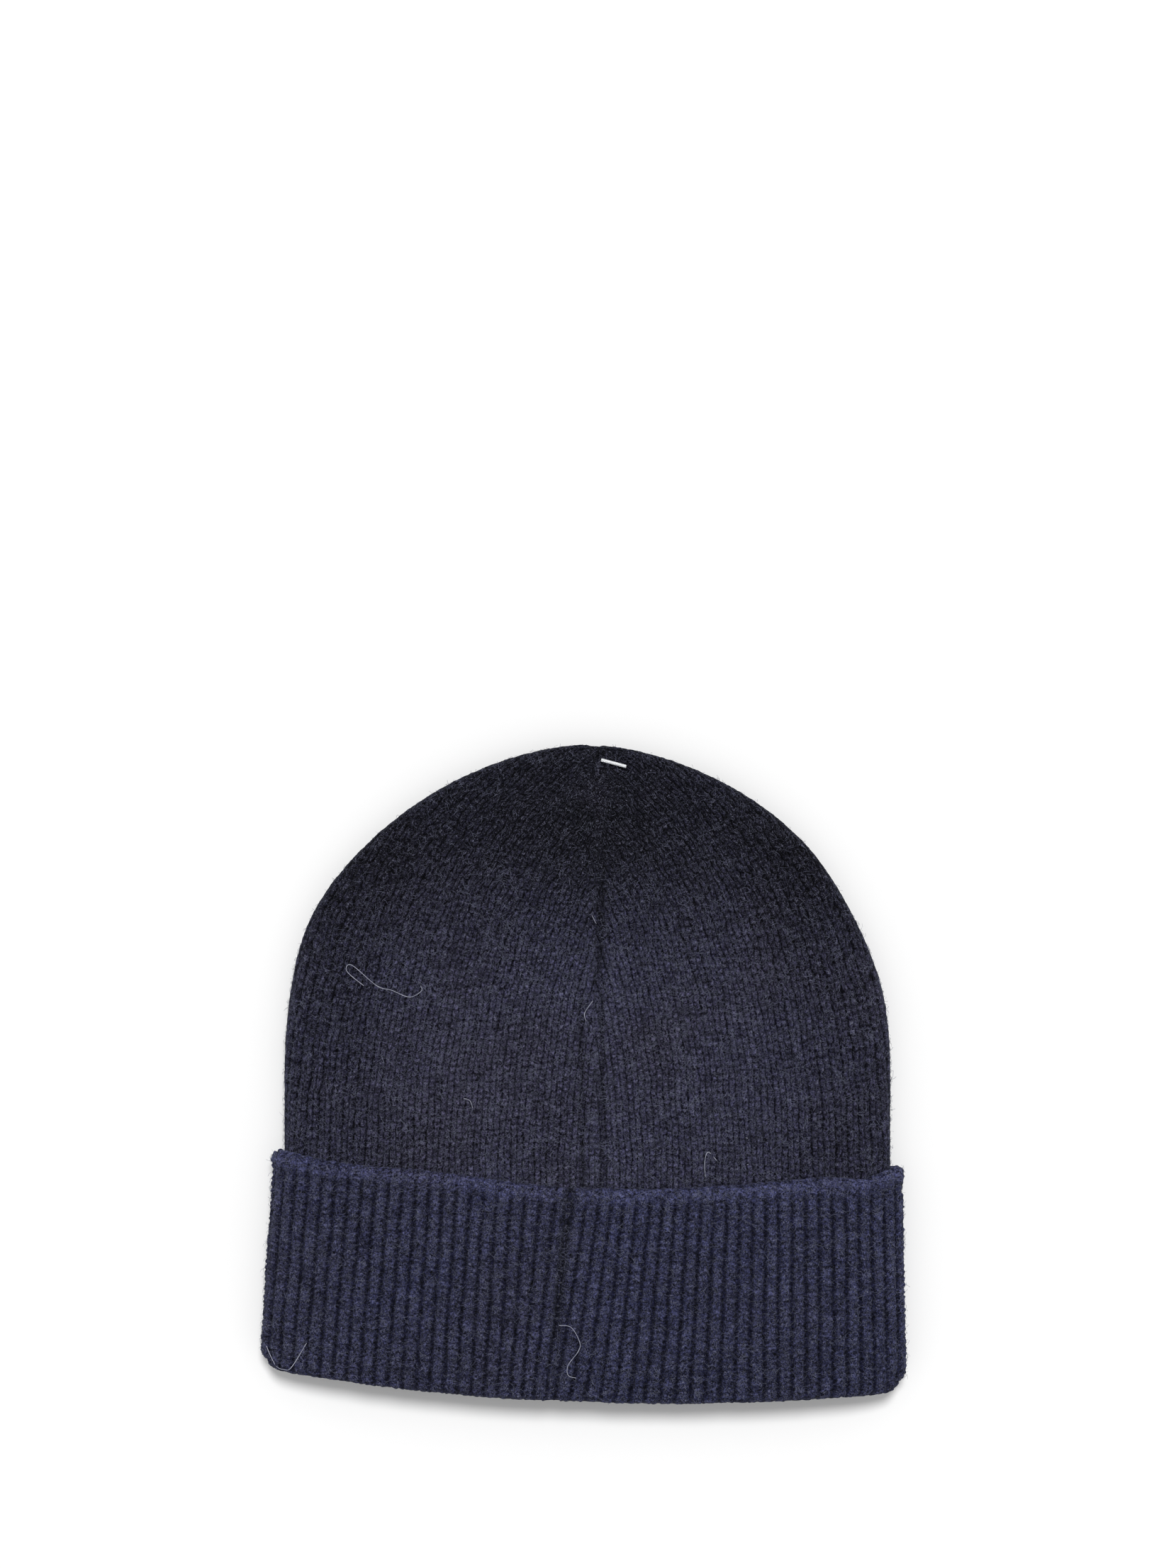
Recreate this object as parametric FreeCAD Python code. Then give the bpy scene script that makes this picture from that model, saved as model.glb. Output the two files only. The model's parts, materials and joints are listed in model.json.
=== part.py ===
"""A cuffed knit beanie lying flat, back upwards, in millimetres.

X runs across the hat, Y from the mouth to the crown, and Z up from the table.
The knit is four quarter panels that meet at the back seam, the front dart and the two
side folds, and a cuff that turns up round the outside of the mouth. Each panel is made
of rows that run from the back or front centre line to the side fold. The layers are
nested: every layer has the shape of the outermost one, taken in by its depth.
"""

import FreeCAD, Part
import os
from math import asin, ceil, cos, degrees, pi, radians, sin, sqrt

Vector = FreeCAD.Vector

# --- the knit ---------------------------------------------------------------
ply = 2.5  # thickness of one layer of rib knit
cuff_gap = 0.4  # space between the cuff and the layer that it lies on
mouth_height = 9.2  # clear height of the mouth between the two inner layers
fold_share = 0.42  # height of the side folds, as a share of the cuff's thickness

# --- the outline, seen from above --------------------------------------------
hat_length = 223.6  # from the bottom fold to the crown, at the middle
body_half_width = 103.7
body_centre_x = 1.5
dome_height = 115.0  # the straight sides end this far below the crown
dome_power_x, dome_power_y = 1.7, 2.45  # the dome's outline is a superellipse
crown_lean = 1.7  # how far the middle of the dome leans to the left
seam_x = 4.0  # the back seam
front_dart_x = 2.0

# --- the cuff ------------------------------------------------------------------
cuff_slack = 0.4  # how much wider the cuff's inner face is than the body at the hem
cuff_flare = 3.6  # how much wider each side is at the fold than at the hem
cuff_hem_centre_x = 2.0
cuff_fold_centre_x = -0.1
fold_sag, fold_skew = 7.0, -3.7  # how far the fold's ends rise, together and unevenly
cuff_height = 72.8
hem_sag, hem_skew = 9.5, -2.5
cuff_lip = 5.0  # how far the fold's inner leg runs up inside the mouth
cuff_seam_x = -6.0
drop_length = 13.0  # where the under layer comes down to the table, above the cuff

# --- the seams -------------------------------------------------------------------
allowance_width = 7.0
allowance_depth = 2.2
allowance_taper = 25.0  # it thins over this length at the crown
allowance_tip = 0.35  # to this share of its depth
allowance_step = 18.0  # between the strip's sections
thread_radius = 0.35
stitch_pitch = 4.0
stitch_length = 6.0
seam_stitch_end = 12.0  # the last stitch across the seam is this far short of its end
dart_stitch_length = 3.0
side_dart_end = 84.0  # where the side darts' stitches stop round the dome, in degrees
tack_from_hem = 5.5
tack_length = 3.0
dart_length = 82.0  # the darts run from the crown down to here
knot_radius = 2.4

# --- the care label ----------------------------------------------------------------
label_length = 32.0
label_width = 36.0
label_thickness = 0.8
label_height = 100.0  # its lower edge, above the bottom fold
label_clearance = 0.4
label_stitch_length = 2.0
label_margin = 1.0  # how far short of the layers its swing stops, in degrees

# --- the tag pin ----------------------------------------------------------------------
pin_from_seam, pin_from_crown = 6.4, 7.0  # where it goes through the back
bar_length = 8.9
bar_radius = 0.55
bar_end_radius = 0.25
bar_angle = -15.7  # the bar's direction, in degrees from X
filament_radius = 0.25
filament_clearance = 0.06
pin_bunching = 1.15  # the knit between the bar and the paddle is this many plies thick
pin_travel = 2.4
pin_clearance = 0.35
paddle_length, paddle_width, paddle_thickness = 6.0, 3.6, 0.8
paddle_corner = 1.1

# --- shape of the sections ---------------------------------------------------------------
upper_power = 6.0  # higher is flatter on top with tighter side folds
lower_power = 10.0
table_bite = 0.35  # the under side is made this much lower and cut flat at the table
crown_inset = 3.4  # the panels' last row starts this far short of the crown
small = 0.02

# --- worked out ------------------------------------------------------------------------------
cuff_thickness = 4 * ply + 2 * cuff_gap + mouth_height
fold_z = fold_share * cuff_thickness
body_depth = ply + cuff_gap  # how deep the body's outer face is under the cuff's
upper_height = cuff_thickness - fold_z - body_depth  # body's outer face above the folds
fold_bend = ply + cuff_gap / 2  # outer radius of the bottom fold
cuff_hem_half_width = body_half_width + body_depth + cuff_slack
cuff_fold_half_width = cuff_hem_half_width + cuff_flare
fold_y = -hat_length / 2
crown_y = hat_length / 2
wall_top_y = crown_y - dome_height
hem_y = fold_y + cuff_height
drop_end_y = hem_y + drop_length
body_low_y = fold_y + fold_bend + cuff_lip  # the body's panels start at the cuff's lip
dome_travel = pi / 2 * sqrt(body_half_width * dome_height)
dart_start_y = crown_y - dart_length
label_y = fold_y + label_height
pin_x = seam_x + pin_from_seam
pin_y = crown_y - pin_from_crown

across = [0, 0.25, 0.48, 0.66, 0.79, 0.88, 0.94, 0.975, 0.994, 1]  # points of a section
hidden_rows = 5  # rows of a panel from the cuff's lip to the hem
drop_rows = 4  # from there to where it lies on the table
crown_rows = 18  # and from there to the crown


def smooth(t):
    """A smooth step from 0 to 1."""
    t = min(1.0, max(0.0, t))
    return t * t * (3 - 2 * t)


def along_cuff(y):
    """0 at the bottom fold and 1 at the hem, at the middle of the cuff."""
    return (y - fold_y) / cuff_height


def bent(y, u):
    """Y at u across the cuff (-1 to 1) of the bent row that crosses the middle at y."""
    t = along_cuff(y)
    sag = fold_sag + (hem_sag - fold_sag) * t
    skew = fold_skew + (hem_skew - fold_skew) * t
    return y + sag * u * u + skew * u


def hem_line(u):
    return bent(hem_y, u)


def cuff_half_width(y):
    return cuff_fold_half_width + (cuff_hem_half_width - cuff_fold_half_width) * along_cuff(y)


def cuff_centre(y):
    return cuff_fold_centre_x + (cuff_hem_centre_x - cuff_fold_centre_x) * along_cuff(y)


def above_cuff(y):
    """0 at the bottom fold and 1 from the hem upwards."""
    return smooth(along_cuff(y))


def body_half(y):
    """The body's half width: its own above the cuff, and the cuff's less its layer inside."""
    inside = cuff_half_width(y) - body_depth
    return inside + (body_half_width - inside) * above_cuff(y)


def body_centre(y):
    centre = cuff_centre(y) + (body_centre_x - cuff_centre(y)) * above_cuff(y)
    dome = min(1.0, max(0.0, (y - wall_top_y) / dome_height))
    return centre - crown_lean * sin(pi * dome) ** 6


def out_share(x, y, depth):
    """0 at the middle and 1 at the outline of the layer that is that deep in the body."""
    share_x = abs(x - body_centre(y)) / (body_half(y) - depth)
    share_y = max(0.0, (y - wall_top_y) / (dome_height - depth))
    return (share_x**dome_power_x + share_y**dome_power_y) ** (1 / dome_power_x)


def lift(x, y):
    """How far the body's under side is above the table: the cuff's layer is below it."""
    u = (x - body_centre(y)) / body_half(y)
    return drop_lift(y - hem_line(u))


def drop_lift(past_hem):
    return body_depth * (1 - smooth(past_hem / drop_length))


def layer_z(share, raised, depth, upper):
    """Height of a layer of the body, from its share of the way out to the fold."""
    share = min(1.0, share)
    if upper:
        return fold_z + (upper_height - depth) * sqrt(1 - share**upper_power)
    return fold_z - (fold_z + table_bite - raised - depth) * sqrt(1 - share**lower_power)


def body_z(x, y, depth, upper):
    """Height of the body's layer that is that deep, over a point of the table."""
    return layer_z(out_share(x, y, depth), lift(x, y), depth, upper)


def body_normal(x, y):
    """The outward normal of the body's outer face on its upper side."""
    d = small / 2
    dx = (body_z(x + d, y, 0, True) - body_z(x - d, y, 0, True)) / (2 * d)
    dy = (body_z(x, y + d, 0, True) - body_z(x, y - d, 0, True)) / (2 * d)
    return Vector(-dx, -dy, 1).normalize()


def cuff_row(side, middle_x, y):
    """A bent row of the body inside the cuff, as a function of the share along it."""
    centre = body_centre(y)

    def at(s, depth, upper):
        half = body_half(y) - depth
        x = middle_x + (centre + side * half - middle_x) * s
        u = (x - centre) / half
        return Vector(x, bent(y, u), layer_z(abs(u), drop_lift(y - hem_y), depth, upper))

    return at


def dome_angle(middle_x):
    """The outline's angle at the centre line, where the panels meet."""
    share = abs(middle_x - body_centre_x) / body_half_width
    return pi / 2 - asin(share ** (dome_power_x / 2))


def dome_outline(side, middle_x, t):
    """The dome's outline from the side, at 0, to the centre line, at 1."""
    toward = 1 if (middle_x - body_centre_x) * side > 0 else -1
    last = dome_angle(middle_x) if toward > 0 else pi - dome_angle(middle_x)
    angle = t * last
    across_share = abs(cos(angle)) ** (2 / dome_power_x) * (1 if cos(angle) > 0 else -1)
    y = wall_top_y + dome_height * sin(angle) ** (2 / dome_power_y)
    return Vector(body_centre(y) + side * body_half_width * across_share, y, 0)


def flat(point):
    return Vector(point.x, point.y, 0)


def crown_row(side, middle_x, t):
    """A row above the cuff: they fan out from the centre line round the dome."""
    first = cuff_row(side, middle_x, drop_end_y)
    low_middle, low_side = flat(first(0, 0, True)), flat(first(1, 0, True))
    wall, dome = wall_top_y - low_side.y, dome_travel
    travel = t * (wall + dome)
    middle = low_middle + Vector(0, t * (crown_y - crown_inset - low_middle.y), 0)
    if travel < wall:
        y = low_side.y + travel
        fold = Vector(body_centre(y) + side * body_half(y), y, 0)
    else:
        fold = dome_outline(side, middle_x, (travel - wall) / dome)

    def line(s):
        bow = flat(first(s, 0, True)) - (low_middle + (low_side - low_middle) * s)
        return middle + (fold - middle) * s + bow * (1 - t) ** 2

    def at(s, depth, upper):
        p = line(s * reach_of(line, depth))
        return Vector(p.x, p.y, fold_z if s == 1 else body_z(p.x, p.y, depth, upper))

    return at


def panel_rows(side, middle_x):
    """All rows of a panel, from the end of the cuff's lip to the crown."""
    hidden = [body_low_y + i / hidden_rows * (hem_y - body_low_y) for i in range(hidden_rows)]
    drop = [hem_y + i / drop_rows * drop_length for i in range(drop_rows + 1)]
    straight = [cuff_row(side, middle_x, y) for y in hidden + drop]
    return straight + [crown_row(side, middle_x, (i + 1) / crown_rows) for i in range(crown_rows)]


def reach_of(line, depth):
    """How far along a row that layer's own outline is, by halving."""
    if depth == 0:
        return 1.0
    low, high = 0.0, 1.0
    for _ in range(50):
        share = (low + high) / 2
        p = line(share)
        if out_share(p.x, p.y, depth) < 1:
            low = share
        else:
            high = share
    return low


def section(row, depth, upper):
    """A layer's curve along a row, from the centre line to the fold, and its two ends."""
    points = [row(s, depth, upper) for s in across]
    curve = Part.BSplineCurve()
    curve.interpolate(Points=points, Parameters=[asin(s) for s in across])
    return curve.toShape(), points[0], points[-1]


def section_edges(row, upper):
    """The knit's edges along a row: outer face, inner face, fold end and centre line end."""
    outer, outer_middle, outer_fold = section(row, 0, upper)
    inner, inner_middle, inner_fold = section(row, ply, upper)
    return [
        outer,
        inner,
        Part.makeLine(outer_fold, inner_fold),
        Part.makeLine(outer_middle, inner_middle),
    ]


def panel(side, upper):
    """A quarter of the body: side is -1 for the left and 1 for the right."""
    rows = panel_rows(side, seam_x if upper else front_dart_x)
    sections = [section_edges(row, upper) for row in rows]
    faces = [Part.makeRuledSurface(edges[0], edges[1]) for edges in (sections[0], sections[-1])]
    for near, far in zip(sections, sections[1:]):
        faces += [Part.makeRuledSurface(a, b) for a, b in zip(near, far)]
    shell = Part.makeShell(faces)
    shell.sewShape()
    solid = Part.makeSolid(shell)
    if solid.Volume < 0:
        solid.reverse()
    return flat_on_table(solid)


def flat_on_table(solid):
    """Takes off what is below the table, so that the under side has a flat face."""
    if solid.BoundBox.ZMin > 0:
        return solid
    size = 4 * body_half_width
    return solid.cut(Part.makeBox(size, size, size, Vector(-size / 2, -size / 2, -size)))


def cuff_point(u, depth, y, upper):
    """A point of the cuff: u runs across it, depth inwards, and y is its bent row's."""
    x = cuff_centre(y) + (cuff_half_width(y) - depth) * u
    if upper:
        z = fold_z + (cuff_thickness - fold_z - depth) * sqrt(1 - abs(u) ** upper_power)
    else:
        z = fold_z - (fold_z + table_bite - depth) * sqrt(1 - abs(u) ** lower_power)
    return Vector(x, bent(y, u), z)


def cuff_profile(u, upper):
    """The cuff's closed section at u: hem, layer, bottom fold and the leg inside the mouth."""
    low = fold_y + fold_bend
    hem = hem_y - ply / 2
    lip = body_low_y

    def at(depth, y):
        return cuff_point(u, depth, y, upper)

    inner_leg, inside = ply + cuff_gap, 2 * ply + cuff_gap
    return Part.Wire(
        [
            Part.Arc(at(0, hem), at(ply / 2, hem + ply / 2), at(ply, hem)).toShape(),
            Part.makeLine(at(ply, hem), at(ply, low)),
            Part.Arc(at(ply, low), at(fold_bend, low - cuff_gap / 2), at(inner_leg, low)).toShape(),
            Part.makeLine(at(inner_leg, low), at(inner_leg, lip)),
            Part.makeLine(at(inner_leg, lip), at(inside, lip)),
            Part.makeLine(at(inside, lip), at(inside, low)),
            Part.Arc(at(inside, low), at(fold_bend, low - fold_bend), at(0, low)).toShape(),
            Part.makeLine(at(0, low), at(0, hem)),
        ]
    )


def cuff(upper):
    stations = [-s for s in reversed(across[1:])] + across
    return flat_on_table(Part.makeLoft([cuff_profile(u, upper) for u in stations], True, False))


def stitch(centre, direction, length):
    """A short piece of thread with round ends."""
    direction = Vector(direction).normalize()
    half = direction * (length / 2)
    rod = Part.makeCylinder(thread_radius, length, centre - half, direction)
    for end in (centre - half, centre + half):
        rod = rod.fuse(Part.makeSphere(thread_radius, end))
    return rod.removeSplitter()


def stitches(points_and_directions, length):
    return Part.makeCompound([stitch(p, d, length) for p, d in points_and_directions])


def spaced(low, high, pitch):
    """Evenly spaced values from low to high, about a pitch apart."""
    count = max(2, int(ceil((high - low) / pitch)))
    return [low + (high - low) * i / count for i in range(count + 1)]


def seam_span():
    """Y from the mouth to the crown along the back seam, inside."""
    return cuff_row(1, seam_x, body_low_y)(0, 0, True).y, crown_y - crown_inset - 2 * ply


def seam_under(y):
    """Z of the body's inner face over the seam allowance."""
    half = allowance_width / 2
    edges = [body_z(seam_x + s * half, y, ply, True) for s in (-1, 1)]
    return min(edges) - small


def seam_allowance():
    """The panels' turned-in edges, as one strip under the back seam."""
    low, high = seam_span()
    wires = []
    for y in spaced(low, high, allowance_step):
        top = seam_under(y)
        half = allowance_width / 2
        full = smooth((high - y) / allowance_taper)
        depth = allowance_depth * (allowance_tip + (1 - allowance_tip) * full)
        corners = [
            Vector(seam_x - half, y, top),
            Vector(seam_x + half, y, top),
            Vector(seam_x + half, y, top - depth),
            Vector(seam_x - half, y, top - depth),
        ]
        wires.append(Part.makePolygon(corners + corners[:1]))
    return Part.makeLoft(wires, True, False)


def seam_stitch_ys():
    low, high = seam_span()
    return spaced(low + stitch_pitch / 2, high - seam_stitch_end, stitch_pitch)


def back_seam_stitches():
    """Overlock threads across the allowance, half sunk in it."""
    across_x = Vector(1, 0, 0)
    return stitches(
        [(Vector(seam_x, y, seam_under(y) - allowance_depth), across_x) for y in seam_stitch_ys()],
        stitch_length,
    )


def side_dart_stitches(side):
    """Threads that join the back and front panels along the side fold of the crown."""
    half, rise = body_half_width - ply, dome_height - ply
    first = asin((dart_start_y - wall_top_y) / rise)
    last = radians(side_dart_end)
    count = int((last - first) * rise / stitch_pitch)
    made = []
    for i in range(count + 1):
        angle = first + (last - first) * i / count
        x = body_centre_x + side * (half - thread_radius) * cos(angle)
        y = wall_top_y + (rise - thread_radius) * sin(angle)
        made.append((Vector(x, y, fold_z), Vector(0, 0, 1)))
    return stitches(made, dart_stitch_length)


def front_dart_stitches():
    """Threads across the dart in the middle of the under side."""
    ys = spaced(dart_start_y, crown_y - crown_inset - 3 * ply, stitch_pitch)
    return stitches(
        [(Vector(front_dart_x, y, body_z(front_dart_x, y, ply, False)), (1, 0, 0)) for y in ys],
        stitch_length,
    )


def crown_knot():
    """The gathered thread that closes the crown where the panels meet."""
    return Part.makeSphere(knot_radius, Vector(seam_x, crown_y - crown_inset - knot_radius, fold_z))


def cuff_seam_stitches():
    """Threads across the cuff's seam, on its hidden face."""
    u = (cuff_seam_x - cuff_centre(fold_y)) / cuff_fold_half_width
    low, high = bent(fold_y, u) + 2 * ply, hem_line(u) - 2 * ply
    z = cuff_thickness - ply
    ys = spaced(low, high, stitch_pitch)
    return stitches([(Vector(cuff_seam_x, y, z), (1, 0, 0)) for y in ys], stitch_length)


def cuff_tack():
    """A bar tack through the cuff and the back panel, at the hem over the back seam."""
    u = (seam_x - cuff_centre(hem_y)) / cuff_hem_half_width
    y = hem_line(u) - tack_from_hem
    x = seam_x - allowance_width / 2 - 2 * thread_radius
    top = cuff_thickness - thread_radius
    bottom = fold_z + upper_height - ply
    bar = stitch(Vector(x, y, top), (1, 0, 0), tack_length)
    post = Part.makeCylinder(thread_radius, top - bottom, Vector(x, y, bottom))
    return bar.fuse(post).removeSplitter()


def label_hinge():
    """The label's sewn edge, beside the seam allowance and under the back panel."""
    x = seam_x - allowance_width / 2 - label_clearance
    y = label_y + label_width / 2
    z = seam_under(y) - label_clearance - label_thickness / 2
    return Vector(x, y, z)


def label_droop():
    """How far below level the label hangs, in degrees, with its free end just clear of the front."""
    hinge = label_hinge()
    floor = body_z(hinge.x, hinge.y, ply, False)
    room = hinge.z - floor - label_thickness / 2 - label_clearance
    return degrees(asin(room / (label_length + 2 * label_clearance))) - label_margin


def care_label():
    """The folded label, hanging from its sewn edge."""
    hinge = label_hinge()
    radius = label_thickness / 2
    strip = Part.makeBox(
        label_length - radius,
        label_width,
        label_thickness,
        Vector(hinge.x - label_length - label_clearance + radius, label_y, hinge.z - radius),
    )
    nose_x = hinge.x - label_length - label_clearance + radius
    nose = Part.makeCylinder(radius, label_width, Vector(nose_x, label_y, hinge.z), Vector(0, 1, 0))
    label = strip.fuse(nose).removeSplitter()
    label.rotate(hinge, Vector(0, 1, 0), -label_droop())
    return label


def label_stitches():
    """The thread that holds the label's sewn edge, between the seam's own stitches."""
    hinge = label_hinge()
    x = seam_x - allowance_width / 2 + thread_radius
    top = seam_under(hinge.y) - allowance_depth
    seam_ys = seam_stitch_ys()
    between = [(low + high) / 2 for low, high in zip(seam_ys, seam_ys[1:])]
    first, last = label_y + label_stitch_length, label_y + label_width - label_stitch_length
    ys = [y for y in between if first < y < last]
    return stitches([(Vector(x, y, top), (0, 1, 0)) for y in ys], label_stitch_length)


def pin_frame():
    """Where the pin's axis leaves the back's outer face, and its direction."""
    return Vector(pin_x, pin_y, body_z(pin_x, pin_y, 0, True)), body_normal(pin_x, pin_y)


def pin_hole():
    face, axis = pin_frame()
    radius = filament_radius + filament_clearance
    return Part.makeCylinder(radius, 4 * ply, face - axis * (2 * ply), axis)


def bar_centre():
    face, axis = pin_frame()
    return face + axis * (bar_radius + pin_clearance)


def tag_bar():
    """The bar that lies on the outside of the back."""
    _, axis = pin_frame()
    level = Vector(cos(radians(bar_angle)), sin(radians(bar_angle)), 0)
    along = (level - axis * level.dot(axis)).normalize()
    centre = bar_centre()
    rod = Part.makeCylinder(bar_radius, bar_length, centre - along * (bar_length / 2), along)
    rod = rod.makeFillet(bar_end_radius, [e for e in rod.Edges if e.Curve.TypeId == "Part::GeomCircle"])
    bore = Part.makeCylinder(
        filament_radius + filament_clearance, bar_radius + 1, centre - axis * (bar_radius + 1), axis
    )
    return rod.cut(bore)


def filament_length():
    """From the middle of the bar to the paddle, with room to pull the pin out by its travel."""
    return bar_radius + pin_clearance + pin_bunching * ply + pin_travel + pin_clearance


def tag_filament():
    _, axis = pin_frame()
    top = bar_centre() - axis * small
    length = filament_length() - small
    return Part.makeCylinder(filament_radius, length, top - axis * length, axis)


def tag_paddle():
    """The flat head inside the crown, which keeps the pin in."""
    _, axis = pin_frame()
    top = bar_centre() - axis * filament_length()
    corner = Vector(-paddle_length / 2, -paddle_width / 2, -paddle_thickness)
    plate = Part.makeBox(paddle_length, paddle_width, paddle_thickness, corner)
    upright = [e for e in plate.Edges if abs(e.tangentAt(0).z) > 0.9]
    plate = plate.makeFillet(paddle_corner, upright)
    turn = FreeCAD.Rotation(Vector(0, 0, 1), axis)
    plate.Placement = FreeCAD.Placement(top, turn)
    return plate


def parts():
    back_right = panel(1, True).cut(pin_hole())
    return {
        "back_left_panel": panel(-1, True),
        "back_right_panel": back_right,
        "front_left_panel": panel(-1, False),
        "front_right_panel": panel(1, False),
        "cuff_back": cuff(True),
        "cuff_front": cuff(False),
        "back_seam_allowance": seam_allowance(),
        "back_seam_stitches": back_seam_stitches(),
        "left_dart_stitches": side_dart_stitches(-1),
        "right_dart_stitches": side_dart_stitches(1),
        "front_dart_stitches": front_dart_stitches(),
        "crown_knot": crown_knot(),
        "cuff_seam_stitches": cuff_seam_stitches(),
        "cuff_tack": cuff_tack(),
        "care_label": care_label(),
        "care_label_stitches": label_stitches(),
        "tag_pin_bar": tag_bar(),
        "tag_pin_filament": tag_filament(),
        "tag_pin_paddle": tag_paddle(),
    }


def main():
    os.makedirs("parts", exist_ok=True)
    for name, shape in parts().items():
        shape.exportStep("parts/" + name + ".step")
        solids = shape.Solids
        print(f"{name}: {len(solids)} solids, valid {shape.isValid()}, {shape.Volume:.1f} mm3")
    hinge = label_hinge()
    face, axis = pin_frame()
    print("label hinge", [round(v, 3) for v in hinge], "droop", round(label_droop(), 3))
    print("pin at", [round(v, 3) for v in face], "axis", [round(v, 5) for v in axis])


main()
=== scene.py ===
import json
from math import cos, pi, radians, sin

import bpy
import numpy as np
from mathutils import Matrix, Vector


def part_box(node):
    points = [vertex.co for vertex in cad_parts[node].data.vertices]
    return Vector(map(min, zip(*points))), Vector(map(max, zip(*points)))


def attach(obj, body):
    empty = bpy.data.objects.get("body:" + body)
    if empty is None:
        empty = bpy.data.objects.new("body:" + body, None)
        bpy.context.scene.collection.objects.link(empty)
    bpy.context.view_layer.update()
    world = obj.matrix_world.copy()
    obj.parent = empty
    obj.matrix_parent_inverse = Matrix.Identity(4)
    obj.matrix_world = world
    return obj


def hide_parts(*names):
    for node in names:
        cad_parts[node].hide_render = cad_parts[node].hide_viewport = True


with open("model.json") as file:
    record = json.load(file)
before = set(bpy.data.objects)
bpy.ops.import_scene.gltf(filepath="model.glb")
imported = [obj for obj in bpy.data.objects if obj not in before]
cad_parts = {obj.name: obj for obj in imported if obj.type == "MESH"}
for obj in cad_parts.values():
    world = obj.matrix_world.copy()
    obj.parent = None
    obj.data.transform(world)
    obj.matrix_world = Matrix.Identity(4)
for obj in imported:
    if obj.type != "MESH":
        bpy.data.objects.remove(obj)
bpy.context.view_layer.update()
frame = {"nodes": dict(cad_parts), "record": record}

# The looks of a cuffed knit beanie that lies on a table, back upwards.
# Lengths are in millimetres in the hat's own frame until a mesh is made: X across, Y from
# the mouth to the crown, Z up. Each soft CAD solid is replaced by a closed mesh of the same
# shape, with the knit's stitches pushed out of its surface along the wales and rows.

MM = 0.001

# --- sizes of the hat, as its CAD has them ---------------------------------------------------------
ply, gap = 2.5, 0.4
body_half_width, body_centre_x = 103.7, 1.5
hat_length, dome_height = 223.6, 115.0
dome_power_x, dome_power_y, crown_lean = 1.7, 2.45, 1.7
seam_x = 4.0
cuff_slack, cuff_flare, cuff_height, cuff_lip = 0.4, 3.6, 72.8, 5.0
cuff_hem_centre_x, cuff_fold_centre_x = 2.0, -0.1
fold_sag, fold_skew, hem_sag, hem_skew = 7.0, -3.7, 9.5, -2.5
drop_length = 13.0
upper_power, lower_power = 6.0, 10.0
crown_inset = 3.4

fold_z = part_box("cuff_back")[0].z / MM
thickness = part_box("cuff_back")[1].z / MM
body_depth = ply + gap
fold_bend = ply + gap / 2
upper_height = thickness - fold_z - body_depth
fold_y, crown_y = -hat_length / 2, hat_length / 2
wall_top_y = crown_y - dome_height
hem_y = fold_y + cuff_height
drop_end_y = hem_y + drop_length
body_low_y = fold_y + fold_bend + cuff_lip
hem_half_width = body_half_width + body_depth + cuff_slack

# --- sizes of the care label -----------------------------------------------------------------------
label_length, label_width, label_clearance = 32.0, 36.0, 0.4
label_droop = 18.28  # degrees below level, as it hangs
ribbon_thickness = 0.22
ribbon_fold = 0.27  # half the distance between its two layers
ribbon_pinch = 0.13  # the same at the sewn edge
ribbon_wave = 0.08  # height of its ripples

# --- sizes of the knit -----------------------------------------------------------------------------
wale_pitch, row_pitch = 2.06, 2.0  # of the body
stitch_relief = 0.9  # from the crest of a stitch to the gap beside it
rib_shade = 0.42  # how much deeper every second wale of the body lies at the sides; painted shade also darkens these wales
rib_pitch, cuff_row_pitch = 4.65, 2.0
rib_relief = 0.68  # depth of the cuff's grooves
welt_height = 5.0  # the smooth band along the hem
grain = 0.24  # of the fuzz, in the surface
rib_lean = 5.6  # how far the cuff's ribs lean to the left beside its seam
lean_start_y, lean_span = -72.0, 44.0  # the lean is none at this Y, and full one span above it
lean_reach = 72.0  # how far right of the seam the ribs still lean
rib_start = 9.0  # the ribs are counted from this far left of the middle
seam_end, stitch_end, groove_end = 62.0, 66.0, 67.0  # how far from the hem each starts to fade
fold_corner, hem_corner = 8.0, 2.2  # radii of the cuff's corners, seen from above
lean_height = 138.0  # from the hem to the crown
twin_lines = 6.4, -0.6  # X of the two lines along the seam below the middle of the back
table_clearance = 0.02  # the knit's lowest point above the table

# --- how fine the meshes are -----------------------------------------------------------------------
upper_columns, lower_columns = ((300, 120))
fine_rows = 420
cuff_columns, cuff_face_rows = ((350, 250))
inner_columns = 40


# --- helpers ---------------------------------------------------------------------------------------
def smooth(t):
    """A smooth step from 0 to 1."""
    t = np.clip(t, 0, 1)
    return t * t * (3 - 2 * t)


def hill(x, width):
    """1 at x = 0, falling smoothly to 0 over about twice the width."""
    return np.exp(-((x / width) ** 2))


def unit(vectors):
    """The vectors at length 1."""
    return vectors / np.maximum(np.linalg.norm(vectors, axis=-1, keepdims=True), 1e-9)


def soft_noise(x, y, scale, seed):
    """Smooth noise between -1 and 1 with bumps about one scale wide."""
    size, start = 256, 1000
    table = np.random.default_rng(seed).uniform(-1, 1, (size, size))
    x, y = x / scale + start, y / scale + start
    i, j = np.floor(x).astype(int), np.floor(y).astype(int)
    fx, fy = smooth(x - i), smooth(y - j)
    left, right, near, far = i % size, (i + 1) % size, j % size, (j + 1) % size
    low = table[left, near] * (1 - fx) + table[right, near] * fx
    high = table[left, far] * (1 - fx) + table[right, far] * fx
    return low * (1 - fy) + high * fy


def per_stitch(wale, row, seed):
    """One random number between -1 and 1 for each stitch."""
    size = 509
    table = np.random.default_rng(seed).uniform(-1, 1, (size, size))
    return table[np.floor(wale).astype(int) % size, np.floor(row).astype(int) % size]


# --- the outline, seen from above ------------------------------------------------------------------
def along_cuff(y):
    return (y - fold_y) / cuff_height


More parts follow.
